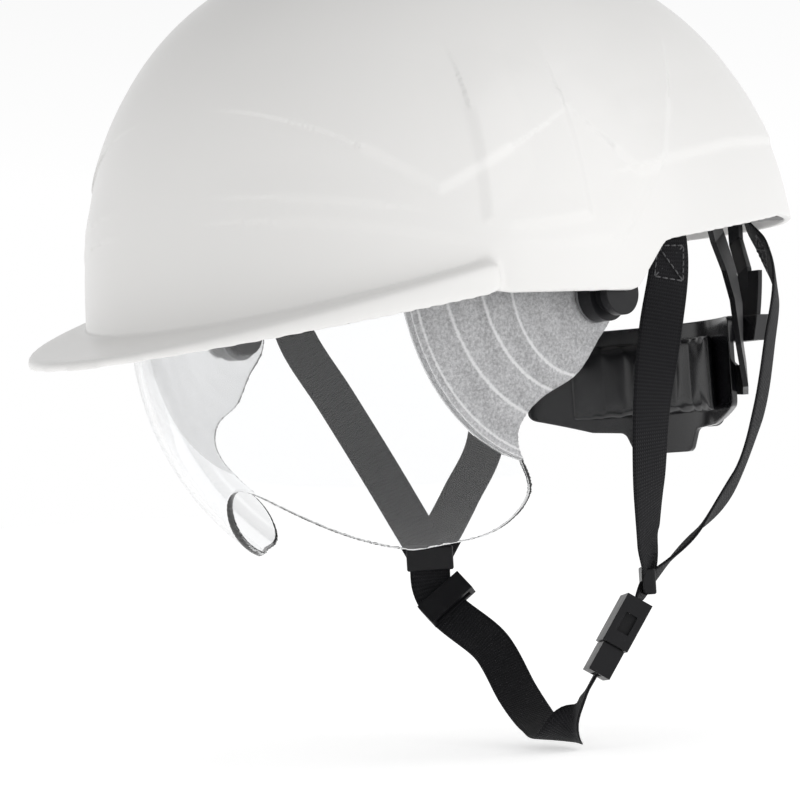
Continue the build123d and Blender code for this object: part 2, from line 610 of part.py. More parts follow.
def make_chin_webbing():
    """Front and rear straps of each side, and the loop under the chin."""
    hook = Vector(*MERGE_LEFT) + BUCKLE_DIR * 10
    front_left = webbing(
        [(98.3, 25, 29), (98.0, 25, 12), (95.5, 21, -12), (91.5, 18.5, -38), (84.5, 22.5, -64),
         (75, 31, -82), MERGE_LEFT, hook],
        [(1, 0, 0), (1, -0.3, 0), (0.85, -0.55, 0), (0.97, -0.25, 0), (0.99, -0.1, 0),
         (0.98, 0.1, 0), (0.85, 0.4, 0), (0.69, 0.72, 0)],
    )
    rear_left = webbing(
        [(66, 104.2, 33), (66.3, 104.6, 28.5), (71, 105.6, 20), (78, 102, 12), (85, 95.7, 3),
         (87.5, 87.5, -16), (88, 77, -43), (82.5, 69.5, -64), (77, 54, -81), MERGE_LEFT],
        [(0.73, 0.68, 0), (0.73, 0.68, 0), (0.74, 0.67, 0), (0.78, 0.62, 0), (0.82, 0.57, 0),
         (0.87, 0.5, 0), (0.87, 0.5, 0), (0.8, 0.6, 0), (0.6, 0.8, 0), (0.75, 0.6, 0)],
    )
    front_right = webbing(
        [(-98.3, 25, 29), (-97.0, 23.5, 12), (-88, 21, -2), (-78, 29.5, -25.4), (-66, 38.4, -52.8),
         MERGE_RIGHT],
        [(1, 0, 0), (1, -0.2, 0), (0.8, -0.6, 0), (0.7, -0.7, 0), (0.7, -0.7, 0), (0.7, -0.7, 0)],
    )
    rear_right = webbing(
        [(-66, 104.2, 33), (-66.3, 104.8, 28), (-70, 107.5, 14), (-72, 107, -15), (-71, 103, -42),
         (-61, 76, -66), MERGE_RIGHT],
        [(0.73, -0.68, 0), (0.73, -0.68, 0), (0.7, -0.7, 0), (0.7, -0.7, 0), (0.75, -0.65, 0),
         (0.75, -0.65, 0), (0.7, -0.7, 0)],
    )
    insert_end = Vector(*MERGE_LEFT) + BUCKLE_DIR * 31.8
    level = Vector(*MERGE_LEFT) + BUCKLE_DIR * 41
    turn_out = Vector(*MERGE_LEFT) + BUCKLE_DIR * 46
    lower = webbing(
        [MERGE_RIGHT, RUN_TOP, RUN_END, (-4, 43, -137), (16, 33, -147), (34, 22, -150),
         (turn_out.X - 3, turn_out.Y - 1, turn_out.Z - 6), turn_out, level, insert_end],
        [(0.7, -0.7, 0), TOWARDS_FRONT_LEFT, TOWARDS_FRONT_LEFT, (0.5, -0.6, 0.6), (0.3, -0.3, 0.9),
         (0.3, 0.1, 0.95), (0.75, 0.55, 0.3), (0.69, 0.72, 0), (0.69, 0.72, 0), (0.69, 0.72, 0)],
    )
    return front_left, rear_left, front_right, rear_right, lower


def make_slider():
    """Tri-glide that slides along the straight run of the lower strap."""
    start, end = Vector(*RUN_TOP), Vector(*RUN_END)
    along = (end - start).normalized()
    across = along.cross(Vector(*TOWARDS_FRONT_LEFT)).normalized()
    plane = Plane(origin=start + along * 9.5, x_dir=across, z_dir=along)
    hollow = Rectangle(WEB_WIDTH + 4 * SLIP, WEB_THICK + 4 * SLIP)
    body = extrude(plane * Rectangle(WEB_WIDTH + 5.0, 5.4), 4.5, both=True)
    return body - extrude(plane * hollow, 12, both=True)


def make_divider(place, toward):
    """Sewn plastic tab where the front and rear straps of a side meet."""
    plane = Plane(origin=place, x_dir=Vector(*toward), z_dir=Vector(0, 0, 1))
    return fillet(extrude(plane * Rectangle(17.5, 4.6), 4.5, both=True).edges(), 0.8)


def trim(shape, *others):
    """Take the others away from a piece and keep its largest solid."""
    for other in others:
        shape = shape - other
    return max(shape.solids(), key=lambda solid: solid.volume)


def anchor(place, tall, deep):
    """Lug on the inner wall with a lip over the strap's end, in its own frame (wall on +Y)."""
    plate = place * Pos(0, 1 + deep / 2, 0) * Box(18, deep, tall)
    lip = place * Pos(0, 1.0, tall / 2 - 1.5) * Box(18, 4.4, 3)
    return trim((plate + lip) & dome(WALL + 0.05))


# ---------------------------------------------------------------- whole object
def main():
    save("shell", make_shell())

    save("eyewear_lens", make_lens())
    screw, washer, bracket, bracket_screws = make_pivots()
    pair("pivot_screw", screw)
    pair("pivot_washer", washer)
    pair("pivot_bracket", bracket)
    save("bracket_screws", *bracket_screws, *[mirrored(s) for s in bracket_screws])

    pair("side_key", make_side_key())
    hanger, prong_holes = make_hanger()
    rear_key = make_rear_key()
    for hole in prong_holes:
        rear_key = rear_key - hole
    pair("rear_key", rear_key)
    pair("rear_hanger", hanger)
    side, front, rear = STRAP_HALF_WIDTH, STRAP_FRONT, STRAP_REAR
    arch = STRAP_HEIGHT
    save("crown_strap_side", crown_strap(90, 0, arch - 2.0, side, side, 44, 44))
    save("crown_strap_left", crown_strap(20.5, BAND_CENTRE_Y, arch + 0.8, front, rear, 26, 35))
    save("crown_strap_right", crown_strap(-20.5, BAND_CENTRE_Y, arch + 2.8, front, rear, 26, 35))
    save("crown_patch", make_crown_patch())
    save("headband", make_headband())
    save("brow_pad", make_brow_pad())
    pair("temple_pin", make_temple_pin())

    left, right = make_arms()
    save("nape_arm_left", left)
    save("nape_arm_right", right)
    save("nape_cradle", make_cradle())
    save("nape_pad", make_nape_pad())
    housing, cover, screws, gear, ring, spring, knob, bolt = make_ratchet()
    save("ratchet_housing", housing)
    save("ratchet_cover", cover)
    save("cover_screws", *screws)
    save("ratchet_gear", gear)
    save("detent_ring", ring)
    save("detent_spring", spring)
    save("ratchet_knob", knob)
    save("knob_screw", bolt)

    front_left, rear_left, front_right, rear_right, lower = make_chin_webbing()
    front_anchor = anchor(Pos(98.5, 25, 27) * Rot(0, 0, -90), 12, 10)
    rear_anchor = anchor(Pos(66.1, 104.3, 33.5) * Rot(0, 0, -47), 9, 20)
    save("chin_anchor_front_left", trim(front_anchor, front_left))
    save("chin_anchor_front_right", trim(mirrored(front_anchor), front_right))
    save("chin_anchor_rear_left", trim(rear_anchor, rear_left))
    save("chin_anchor_rear_right", trim(mirrored(rear_anchor), rear_right))
    rear_left = trim(rear_left, front_left)
    rear_right = trim(rear_right, front_right)
    lower = trim(lower, front_right, rear_right)
    save("chin_strap_front_left", front_left)
    save("chin_strap_rear_left", rear_left)
    save("chin_strap_front_right", front_right)
    save("chin_strap_rear_right", rear_right)
    save("chin_strap_lower", lower)
    tab = make_divider(MERGE_LEFT, (-0.72, 0.69, 0))
    save("strap_tab_left", trim(tab, front_left, rear_left))
    tab = make_divider(MERGE_RIGHT, (0.7, 0.7, 0))
    save("strap_tab_right", trim(tab, front_right, rear_right, lower))
    socket, insert = make_buckle()
    save("buckle_socket", trim(socket, front_left))
    save("buckle_insert", insert)
    save("strap_slider", make_slider())


main()
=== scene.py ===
"""Looks of the safety helmet: shell, eye shield, webbing, pads and the stage round them.

Every length is in metres in the row frame: +Z up, front is -Y, the wearer's left is +X.
Routes and outlines are written in millimetres and turned into metres by mm().
"""

import json
import math

import bmesh
import bpy
import numpy as np
from mathutils import Matrix, Vector


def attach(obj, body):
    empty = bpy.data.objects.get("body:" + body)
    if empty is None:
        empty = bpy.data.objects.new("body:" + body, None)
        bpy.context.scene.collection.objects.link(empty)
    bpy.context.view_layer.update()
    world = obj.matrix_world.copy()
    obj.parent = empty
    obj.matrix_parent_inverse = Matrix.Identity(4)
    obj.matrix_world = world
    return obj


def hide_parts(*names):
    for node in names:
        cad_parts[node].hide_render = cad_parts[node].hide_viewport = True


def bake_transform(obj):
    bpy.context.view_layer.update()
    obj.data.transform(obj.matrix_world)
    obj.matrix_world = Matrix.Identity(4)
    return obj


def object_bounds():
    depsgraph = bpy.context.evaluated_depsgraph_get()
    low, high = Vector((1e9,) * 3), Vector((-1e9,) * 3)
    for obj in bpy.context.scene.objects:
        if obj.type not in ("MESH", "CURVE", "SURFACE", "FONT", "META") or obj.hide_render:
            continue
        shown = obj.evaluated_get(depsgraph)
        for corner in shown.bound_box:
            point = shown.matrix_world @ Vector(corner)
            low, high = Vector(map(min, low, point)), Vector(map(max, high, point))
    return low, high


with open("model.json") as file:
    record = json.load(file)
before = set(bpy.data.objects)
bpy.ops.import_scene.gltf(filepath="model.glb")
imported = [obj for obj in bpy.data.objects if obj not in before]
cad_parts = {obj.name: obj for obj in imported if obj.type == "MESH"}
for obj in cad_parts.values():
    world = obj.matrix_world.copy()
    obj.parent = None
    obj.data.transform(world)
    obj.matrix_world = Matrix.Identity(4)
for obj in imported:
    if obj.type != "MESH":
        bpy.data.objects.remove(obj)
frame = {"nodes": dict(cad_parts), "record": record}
CAD_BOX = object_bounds()
NODES = frame["nodes"]

MM = 0.001

# ---------------------------------------------------------------- driving dimensions
SHELL_HALF_WIDTH = 107.0 * MM   # outer face of the shell body
SHELL_FRONT = 118.0 * MM
SHELL_REAR = 150.0 * MM
SHELL_HEIGHT = 133.0 * MM
SHELL_WALL = 2.5 * MM
CROWN_POWER = 2.4
FRONT_POWER = 2.15
REAR_POWER = 2.5
CROWN_SHIFT = 8.0 * MM
SHELL_VOXEL = 0.85 * MM
SHELL_DRAW = 1.2 * MM           # how far a face may be drawn back onto its true surface
SHELL_EDGE_ROUNDS = 13          # smoothing of the edges that are left
FLANGE_END = -57.0              # where the brim's side flange stops, in millimetres along Y

PIVOT_Y = -6.0 * MM             # eyewear axis, along X at height 0
LENS_HALF_WIDTH = 91.0 * MM     # outer face of the lens
LENS_REACH = 100.0 * MM
LENS_THICK = 2.2 * MM
LENS_VOXEL = 0.6 * MM
LENS_DRAW = 0.7 * MM
LENS_EDGE_ROUNDS = 4
FROST_EDGE = 65.0 * MM          # frosted sector of the lens, level with the pivot
FROST_FALL = 6.7 * MM           # and how much nearer its edge comes per radian downwards
# Ribs as radius level with the pivot, and how much nearer each comes per radian downwards.
RIBS = ((54.2 * MM, 9.0 * MM), (43.1 * MM, 7.5 * MM), (33.2 * MM, 4.5 * MM))
# Painted light: the right sector keeps only this share of the frost, standing in for the brighter, backlit far
# side.
RIGHT_FROST_PAINTED_BACKLIGHT = 0.2               # share of the left sector's frost, chosen to match the photo

WEB_WIDTH = 15.0 * MM           # chin webbing
WEB_THICK = 1.3 * MM
CROWN_WEB_WIDTH = 20.0 * MM     # crown webbing
CROWN_WEB_THICK = 1.2 * MM
CROWN_HEIGHT = 94.0
BAND_CENTRE_Y = 8.0

CAMERA_AZIMUTH = math.radians(46.0)
CAMERA_ELEVATION = math.radians(-3.0)
CAMERA_ROLL = math.radians(3.519)
CAMERA_DISTANCE = 1.1
CAMERA_LENS = 139.88
CAMERA_SHIFT = (-0.0214, -0.1036)


# ---------------------------------------------------------------- materials
class Shader:
    """One material and a short way to add and join its nodes."""

    def __init__(self, name, **sockets):
        self.material = bpy.data.materials.new(name)
        self.material.use_nodes = True
        self.tree = self.material.node_tree
        self.bsdf = self.tree.nodes["Principled BSDF"]
        for key, value in sockets.items():
            self.bsdf.inputs[key.replace("_", " ")].default_value = value
        self.place = self.add("ShaderNodeTexCoord").outputs["Object"]

    def add(self, kind, inputs=(), **settings):
        node = self.tree.nodes.new(kind)
        for key, value in settings.items():
            setattr(node, key, value)
        for key, value in dict(inputs).items():
            if isinstance(value, bpy.types.NodeSocket):
                self.tree.links.new(value, node.inputs[key])
            else:
                node.inputs[key].default_value = value
        return node

    def math(self, operation, a, b=0.0, clamp=False):
        return self.add("ShaderNodeMath", {0: a, 1: b}, operation=operation, use_clamp=clamp).outputs[0]

    def noise(self, scale, detail=2.0, roughness=0.5):
        inputs = {"Vector": self.place, "Scale": scale, "Detail": detail, "Roughness": roughness}
        return self.add("ShaderNodeTexNoise", inputs).outputs["Fac"]

    def ramp(self, factor, low, high):
        """Factor 0 to 1 turned into a value between low and high."""
        inputs = {"Value": factor, "To Min": low, "To Max": high}
        return self.add("ShaderNodeMapRange", inputs).outputs["Result"]

    def tint(self, factor, first, second):
        """Colour between first and second, each given as three numbers or as a socket."""
        mix = self.tree.nodes.new("ShaderNodeMix")
        mix.data_type = "RGBA"
        self.tree.links.new(factor, mix.inputs[0])
        ends = [socket for socket in mix.inputs if socket.type == "RGBA"]
        for socket, colour in zip(ends, (first, second)):
            if isinstance(colour, bpy.types.NodeSocket):
                self.tree.links.new(colour, socket)
            else:
                socket.default_value = (*colour, 1.0)
        return [socket for socket in mix.outputs if socket.type == "RGBA"][0]

    def join(self, socket, value):
        self.tree.links.new(value, self.bsdf.inputs[socket])

    def relief(self, height, distance, strength=1.0, rounding=0.0):
        """Bump in metres; rounding softens the sharp edges of a moulded piece."""
        inputs = {"Height": height, "Distance": distance, "Strength": strength}
        if rounding:
            bevel = self.add("ShaderNodeBevel", {"Radius": rounding}, samples=4)
            inputs["Normal"] = bevel.outputs["Normal"]
        self.join("Normal", self.add("ShaderNodeBump", inputs).outputs["Normal"])


def white_shell():
    """Glossy moulded ABS with a faint moulding ripple."""
    s = Shader("white_shell", Coat_Weight=0.2, Coat_Roughness=0.12, Specular_IOR_Level=0.45)
    s.join("Base Color", s.tint(s.noise(14.0), (0.79, 0.783, 0.77), (0.815, 0.808, 0.795)))
    s.join("Roughness", s.ramp(s.noise(70.0), 0.29, 0.35))
    s.relief(s.noise(900.0, 1.0), 0.00002, 0.5)
    return s.material


def moulded(name, colour, roughness, grain, rounding=0.0005, gloss=0.5):
    """Moulded plastic with eroded grain and handling marks."""
    s = Shader(name, Specular_IOR_Level=gloss)
    lighter = tuple(c * 1.5 + 0.004 for c in colour)
    s.join("Base Color", s.tint(s.noise(45.0, 4.0), colour, lighter))
    s.join("Roughness", s.ramp(s.noise(160.0, 3.0), roughness * 0.8, roughness * 1.25))
    s.relief(s.noise(2400.0, 3.0), grain, 0.7, rounding)
    return s.material


def clear_lens():
    """Clear polycarbonate with frosted, ribbed side sectors; the right one is made much fainter as painted light,
    for the brighter, backlit far side.
    """
    s = Shader("clear_lens", IOR=1.45, Specular_IOR_Level=0.5)
    split = s.add("ShaderNodeSeparateXYZ", {"Vector": s.place})
    forward = s.math("SUBTRACT", PIVOT_Y, split.outputs["Y"])
    down = s.math("MULTIPLY", split.outputs["Z"], -1.0)
    square = s.math("ADD", s.math("MULTIPLY", forward, forward), s.math("MULTIPLY", down, down))
    radius = s.math("SQRT", square)
    turn = s.math("ARCTAN2", down, forward)
    edge = s.math("SUBTRACT", FROST_EDGE, s.math("MULTIPLY", turn, FROST_FALL))
    inside = s.math("SUBTRACT", edge, radius)
    frost = s.math("MULTIPLY", inside, 1 / (0.5 * MM), clamp=True)
    ribs = line_at(s, inside, 0.3 * MM, 0.5 * MM)
    ribs = s.math("MAXIMUM", ribs, line_at(s, inside, 2.4 * MM, 0.5 * MM))
    for start, fall in RIBS:
        along = s.math("ADD", radius, s.math("MULTIPLY", turn, fall))
        ribs = s.math("MAXIMUM", ribs, line_at(s, along, start, 0.75 * MM))
    # Painted light: the frost fades out towards the right (-X) side, so the far sector looks brighter, as if
    # backlit.
    side = s.math("MULTIPLY", s.math("ADD", split.outputs["X"], 20 * MM), 1 / (40 * MM), clamp=True)
    frost = s.math("MULTIPLY", frost, s.ramp(side, RIGHT_FROST_PAINTED_BACKLIGHT, 1.0))
    ribs = s.math("MULTIPLY", ribs, frost)
    bands = s.math("SINE", s.math("MULTIPLY", radius, 1 / (1.45 * MM)))
    speckle = s.math("MULTIPLY", s.math("SUBTRACT", s.noise(1000.0, 3.0, 0.8), 0.34), 3.0, clamp=True)
    grain = s.math("ADD", s.math("MULTIPLY", speckle, 0.8), s.math("MULTIPLY", s.noise(90.0), 0.2))
    shade = s.math("ADD", s.math("MULTIPLY", grain, 0.8), s.math("MULTIPLY", bands, 0.05))
    base = s.tint(s.math("ADD", shade, s.math("MULTIPLY", ribs, 0.8), clamp=True),
                  (0.27, 0.27, 0.28), (0.90, 0.90, 0.91))
    s.join("Base Color", s.tint(frost, (0.985, 0.99, 0.995), base))
    s.join("Transmission Weight", s.ramp(frost, 1.0, 0.34))
    s.join("Roughness", s.ramp(frost, 0.015, 0.42))
    height = s.math("ADD", s.math("MULTIPLY", ribs, 0.6), s.math("MULTIPLY", grain, 0.25))
    s.relief(s.math("MULTIPLY", height, frost), 0.0003, 0.8)
    return s.material


def line_at(s, value, centre, half):
    """1 on the line where value is centre, falling to 0 at half to each side."""
    away = s.math("ABSOLUTE", s.math("SUBTRACT", value, centre))
    return s.math("SUBTRACT", 1.0, s.math("MULTIPLY", away, 1 / half), clamp=True)


def webbing(name, dark, light, rib_pitch, half_width):
    """Woven strap: cross ribs, fine warp threads and a tighter selvedge; its colour follows the relief, with
    painted shade in the grooves and on the selvedge, lighter rib tops and random fuzz tone.
    """
    s = Shader(name, Sheen_Weight=0.04, Sheen_Roughness=0.5, Specular_IOR_Level=0.15)
    cloth = s.add("ShaderNodeUVMap").outputs["UV"]
    split = s.add("ShaderNodeSeparateXYZ", {"Vector": cloth})
    across, along = split.outputs["X"], split.outputs["Y"]
    warp = s.math("SINE", s.math("MULTIPLY", across, 2 * math.pi / (0.85 * MM)))
    phase = s.math("MULTIPLY", warp, 0.9)
    rib = s.math("SINE", s.math("ADD", s.math("MULTIPLY", along, 2 * math.pi / rib_pitch), phase))
    edge = s.math("SUBTRACT", s.math("ABSOLUTE", across), half_width - 1.3 * MM)
    selvedge = s.math("MULTIPLY", edge, 1 / (0.3 * MM), clamp=True)
    body = s.math("ADD", s.math("MULTIPLY", rib, 0.5), s.math("MULTIPLY", warp, 0.22))
    height = s.math("SUBTRACT", body, s.math("MULTIPLY", selvedge, 0.5))
    fuzz = s.noise(700.0, 4.0, 0.7)
    height = s.math("ADD", height, s.math("MULTIPLY", fuzz, 0.5))
    # Painted shade: the colour follows the relief height, darker in the grooves and on the lowered selvedge,
    # lighter on the ribs; the fuzz adds random tone.
    shade = s.math("ADD", s.math("MULTIPLY", height, 0.45), 0.3, clamp=True)
    s.join("Base Color", s.tint(shade, dark, light))
    s.join("Roughness", s.ramp(fuzz, 0.62, 0.85))
    s.relief(height, 0.00022, 0.8)
    return s.material


def foam_fabric():
    """Knitted spacer fabric over foam, with painted shade in the hollows of the knit and random fuzz tone."""
    s = Shader("foam_fabric", Sheen_Weight=0.35, Sheen_Roughness=0.4, Specular_IOR_Level=0.2)
    inputs = {"Vector": s.place, "Scale": 620.0, "Randomness": 0.35}
    cells = s.add("ShaderNodeTexVoronoi", inputs).outputs["Distance"]
    fuzz = s.noise(1300.0, 4.0, 0.7)
    height = s.math("ADD", cells, s.math("MULTIPLY", fuzz, 0.4))
    # Painted shade: the colour follows the cell height, darker in the hollows and lighter on the raised knit; the
    # fuzz adds random tone.
    s.join("Base Color", s.tint(s.math("MULTIPLY", height, 0.9, clamp=True), (0.012, 0.012, 0.013),
                                (0.075, 0.075, 0.08)))
    s.join("Roughness", s.ramp(fuzz, 0.75, 0.95))
    s.relief(height, 0.0004, 0.8)
    return s.material


def thread():
    """Twisted polyester sewing thread."""
    s = Shader("sewing_thread", Sheen_Weight=0.2, Specular_IOR_Level=0.3)
    twist = s.noise(3200.0, 2.0)
    s.join("Base Color", s.tint(twist, (0.03, 0.03, 0.032), (0.12, 0.12, 0.125)))
    s.join("Roughness", s.ramp(twist, 0.5, 0.7))
    s.relief(twist, 0.0001, 0.6)
    return s.material


def steel():
    """Zinc-plated screw steel with turning marks."""
    s = Shader("plated_steel", Metallic=1.0)
    inputs = {"Vector": s.place, "Scale": 1400.0, "Distortion": 1.5, "Detail": 2.0}
    marks = s.add("ShaderNodeTexWave", inputs).outputs["Fac"]
    s.join("Base Color", s.tint(s.noise(220.0), (0.50, 0.50, 0.50), (0.68, 0.68, 0.67)))
    s.join("Roughness", s.ramp(marks, 0.22, 0.4))
    s.relief(marks, 0.00003, 0.5, 0.0003)
    return s.material


def pale_floor():
    s = Shader("pale_floor", Roughness=0.9, Specular_IOR_Level=0.0, Emission_Strength=0.5)
    s.bsdf.inputs["Emission Color"].default_value = (1, 1, 1, 1)
    s.join("Base Color", s.tint(s.noise(3.0), (0.93, 0.93, 0.93), (0.94, 0.94, 0.94)))
    return s.material


MATERIALS = {
    "white_shell": white_shell(),
    "clear_lens": clear_lens(),
    "black_plastic": moulded("black_plastic", (0.005, 0.005, 0.006), 0.38, 0.00005, gloss=0.22),
    "gloss_black": moulded("gloss_black", (0.004, 0.004, 0.005), 0.13, 0.000006, 0.001),
    "grey_plastic": moulded("grey_plastic", (0.10, 0.10, 0.104), 0.42, 0.00005),
    "black_webbing": webbing(
        "black_webbing", (0.002, 0.002, 0.003), (0.018, 0.018, 0.020), 1.25 * MM, WEB_WIDTH / 2
    ),
    "crown_webbing": webbing(
        "crown_webbing", (0.010, 0.010, 0.012), (0.055, 0.055, 0.06), 1.6 * MM, CROWN_WEB_WIDTH / 2
    ),
    "foam_fabric": foam_fabric(),
    "coated_foam": moulded("coated_foam", (0.003, 0.003, 0.004), 0.2, 0.00001),
    "steel": steel(),
    "thread": thread(),
}


def finish_cad_nodes():
    """Give each carried-over CAD node the material of its slot in the record."""
    for subpart in frame["record"]["subparts"]:
        node = NODES[subpart["node"]]
        node.data.materials.clear()
        node.data.materials.append(MATERIALS[subpart["material_slot"]])


# ---------------------------------------------------------------- mesh helpers
def new_piece(name, vertices, faces, slot, body="helmet", uvs=None, smooth=True):
    """Mesh piece that rides on a body; uvs hold one pair for each vertex."""
    mesh = bpy.data.meshes.new(name)
    mesh.from_pydata([tuple(v) for v in vertices], [], faces)
    if uvs is not None:
        layer = mesh.uv_layers.new(name="cloth")
        for loop in mesh.loops:
            layer.data[loop.index].uv = uvs[loop.vertex_index]
    mesh.shade_smooth() if smooth else mesh.shade_flat()
    return dress(bpy.data.objects.new(name, mesh), slot, body)


def dress(obj, slot, body="helmet"):
    """Link a new piece, give it its finish and let it ride on a body."""
    if obj.name not in bpy.context.scene.objects:
        bpy.context.scene.collection.objects.link(obj)
    obj.data.materials.clear()
    obj.data.materials.append(MATERIALS[slot])
    if body:
        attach(obj, body)
    return obj


def applied(obj):
    """Put an object's modifiers into its mesh."""
    graph = bpy.context.evaluated_depsgraph_get()
    mesh = bpy.data.meshes.new_from_object(obj.evaluated_get(graph))
    obj.modifiers.clear()
    obj.data = mesh
    return obj


def coordinates(mesh):
    co = np.empty(len(mesh.vertices) * 3)
    mesh.vertices.foreach_get("co", co)
    return co.reshape(-1, 3)


def normals(mesh):
    no = np.empty(len(mesh.vertices) * 3)
    mesh.vertices.foreach_get("normal", no)
    return no.reshape(-1, 3)


def set_coordinates(mesh, co):
    mesh.vertices.foreach_set("co", np.ascontiguousarray(co, dtype=np.float32).ravel())
    mesh.update()


def fair_curve(knots, values, at):
    """Smooth curve through values at knots, read at the given places."""
    values = np.asarray(values, float)
    slopes = np.diff(values, axis=0) / np.diff(knots)[:, None]
    spans = np.diff(knots)[:, None]
    inner = (slopes[:-1] * spans[1:] + slopes[1:] * spans[:-1]) / (spans[1:] + spans[:-1])
    tangents = np.vstack([slopes[:1], inner, slopes[-1:]])
    i = np.clip(np.searchsorted(knots, at, side="right") - 1, 0, len(knots) - 2)
    span = (knots[i + 1] - knots[i])[:, None]
    t = ((at - knots[i])[:, None]) / span
    h00, h10 = 2 * t**3 - 3 * t**2 + 1, t**3 - 2 * t**2 + t
    h01, h11 = -2 * t**3 + 3 * t**2, t**3 - t**2
    return h00 * values[i] + h10 * span * tangents[i] + h01 * values[i + 1] + h11 * span * tangents[i + 1]


def unit_rows(rows):
    return rows / np.linalg.norm(rows, axis=1)[:, None]


def strap_frames(points, facings, step):
    """Places along a strap with their along, across and facing directions."""
    points = np.array(points, float) * MM
    knots = np.concatenate([[0], np.cumsum(np.linalg.norm(np.diff(points, axis=0), axis=1))])
    count = max(4, int(round(knots[-1] / step)) + 1)
    at = np.linspace(0, knots[-1], count)
    centre = fair_curve(knots, points, at)
    facing = fair_curve(knots, facings, at)
    along = unit_rows(np.gradient(centre, axis=0))
    facing = unit_rows(facing - along * np.sum(facing * along, axis=1)[:, None])
    across = np.cross(along, facing)
    length = np.concatenate([[0], np.cumsum(np.linalg.norm(np.diff(centre, axis=0), axis=1))])
    return centre, along, across, facing, length


def strap(name, points, facings, width, thick, slot, body="helmet", step=1.6 * MM):
    """Woven strap with soft selvedges through a route in millimetres."""
    centre, _, across, facing, length = strap_frames(points, facings, step)
    ring = 22
    turn = 2 * np.pi * np.arange(ring) / ring
    flat = np.sign(np.cos(turn)) * np.abs(np.cos(turn)) ** 0.35 * width / 2
    rise = np.sign(np.sin(turn)) * np.abs(np.sin(turn)) ** 0.7 * thick / 2
    vertices, uvs, faces = [], [], []
    for i in range(len(centre)):
        for j in range(ring):
            vertices.append(centre[i] + across[i] * flat[j] + facing[i] * rise[j])
            uvs.append((flat[j], length[i]))
    for i in range(len(centre) - 1):
        for j in range(ring):
            k = (j + 1) % ring
            faces.append((i * ring + j, i * ring + k, (i + 1) * ring + k, (i + 1) * ring + j))
    faces.append(tuple(reversed(range(ring))))
    faces.append(tuple(range((len(centre) - 1) * ring, len(centre) * ring)))
    return new_piece(name, vertices, faces, slot, body, uvs)


def stitches(name, runs, body="helmet", pitch=2.4 * MM, gauge=0.22 * MM):
    """Lockstitch threads: each run is (list of points, facing), in metres."""
    vertices, faces = [], []
    sides = 6
    for points, facing in runs:
        for a, b in stitch_pairs(points, pitch):
            along = (b - a).normalized()
            across = along.cross(facing).normalized()
            base = len(vertices)
            stations = ((0.0, 0.15, -0.6), (0.18, 0.9, 0.3), (0.5, 1.0, 0.9), (0.82, 0.9, 0.3), (1.0, 0.15, -0.6))
            for share, size, lift in stations:
                middle = a.lerp(b, 0.06 + 0.88 * share) + facing * gauge * lift
                for k in range(sides):
                    turn = 2 * math.pi * k / sides
                    side = across * math.cos(turn) * 1.3 + facing * math.sin(turn)
                    vertices.append(middle + side * gauge * size)
            for i in range(len(stations) - 1):
                for k in range(sides):
                    m = (k + 1) % sides
                    low, high = base + i * sides, base + (i + 1) * sides
                    faces.append((low + k, low + m, high + m, high + k))
            faces.append(tuple(base + k for k in reversed(range(sides))))
            faces.append(tuple(base + (len(stations) - 1) * sides + k for k in range(sides)))
    return new_piece(name, vertices, faces, "thread", body)


def stitch_pairs(points, pitch):
    """Ends of the stitches along a run of points."""
    for start, end in zip(points, points[1:]):
        count = max(1, round((end - start).length / pitch))
        for i in range(count):
            yield start.lerp(end, i / count), start.lerp(end, (i + 1) / count)


# ---------------------------------------------------------------- shell
def distance_from(level, co):
    """Signed distance of each point from the surface level = 0, and that surface's slope."""
    value = level(co)
    reach = 1e-5
    slope = np.stack([(level(co + reach * axis) - value) / reach for axis in np.eye(3)], axis=1)
    steep = np.maximum(np.linalg.norm(slope, axis=1), 1e-6)
    return value / steep, slope / steep[:, None]


def dome_level(inset):
    """Function that is 0 on the dome of the shell, this far inside its outer face."""

    def level(p):
        x, y, z = p[:, 0], p[:, 1], p[:, 2]
        width, height = SHELL_HALF_WIDTH - inset, SHELL_HEIGHT - inset
        share = np.full(len(p), 0.7)
        for _ in range(5):
            from_centre = y - CROWN_SHIFT * (1 - share)
            rear = from_centre > 0
            length = np.where(rear, SHELL_REAR, SHELL_FRONT) - inset
            power = np.where(rear, REAR_POWER, FRONT_POWER)
            total = (np.abs(x) / width) ** power + (np.abs(from_centre) / length) ** power
            share = np.maximum(total, 1e-9) ** (1 / power)
        rise = np.maximum(z, 0) / height
        return (rise**CROWN_POWER + share**CROWN_POWER) ** (1 / CROWN_POWER) - 1

    return level


def egg_level(inset):
    """Function that is 0 on the lens, this far inside its outer face."""

    def level(p):
        reach = np.hypot(p[:, 1] - PIVOT_Y, p[:, 2]) / (LENS_REACH - inset)
        return np.hypot(p[:, 0] / (LENS_HALF_WIDTH - inset), reach) - 1

    return level


def remeshed(node, name, voxel, rounds):
    """Dense copy of a CAD node with its sharp edges worn round."""
    obj = bpy.data.objects.new(name, NODES[node].data.copy())
    bpy.context.scene.collection.objects.link(obj)
    voxels = obj.modifiers.new("voxels", "REMESH")
    voxels.mode = "VOXEL"
    voxels.voxel_size = voxel * 1
    soft = obj.modifiers.new("soft", "SMOOTH")
    soft.factor = 0.5
    soft.iterations = rounds
    return applied(obj)


def relax(mesh, weights, rounds):
    """Even out the vertices by moving each towards the middle of its neighbours."""
    ends = np.empty(len(mesh.edges) * 2, dtype=np.int32)
    mesh.edges.foreach_get("vertices", ends)
    first, second = ends.reshape(-1, 2).T
    co = coordinates(mesh)
    total = len(co)
    count = np.bincount(first, minlength=total) + np.bincount(second, minlength=total)
    share = 0.5 * weights / np.maximum(count, 1)
    for _ in range(rounds):
        for axis in range(3):
            value = co[:, axis]
            near = np.bincount(first, value[second], total) + np.bincount(second, value[first], total)
            co[:, axis] = value + share * (near - count * value)
    set_coordinates(mesh, co)


